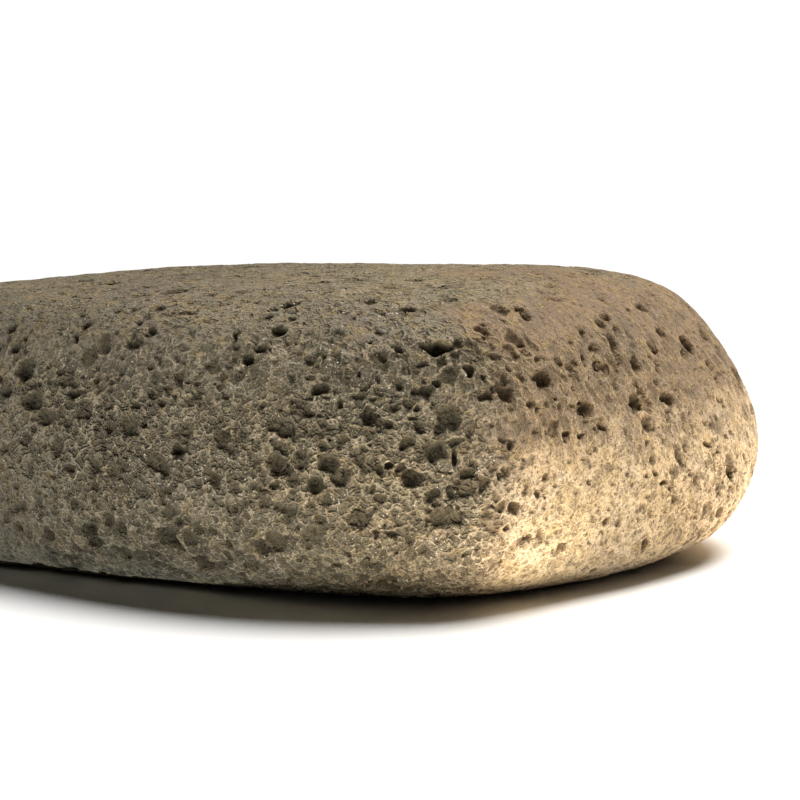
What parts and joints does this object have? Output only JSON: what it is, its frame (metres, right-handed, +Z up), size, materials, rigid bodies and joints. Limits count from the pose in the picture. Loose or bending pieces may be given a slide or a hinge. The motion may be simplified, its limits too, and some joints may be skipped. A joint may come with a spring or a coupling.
{
  "type": "pumice stone",
  "caption": "Flat, worn natural pumice stone with rounded faces and open pores all over, for rubbing skin; it lies on its flattened underside.",
  "frame": {"origin": "on the surface it lies on, under the middle of the stone's box", "axes": "+X along the stone towards the end that is nearer in the picture, +Y across it away from the long side that faces the viewer, +Z up"},
  "size_m": [0.1152, 0.0774, 0.0348],
  "materials": {
    "pumice": "dull and rough, open pores"
  },
  "bodies": {
    "root": {"pumice_stone": "pumice"}
  },
  "joints": []
}
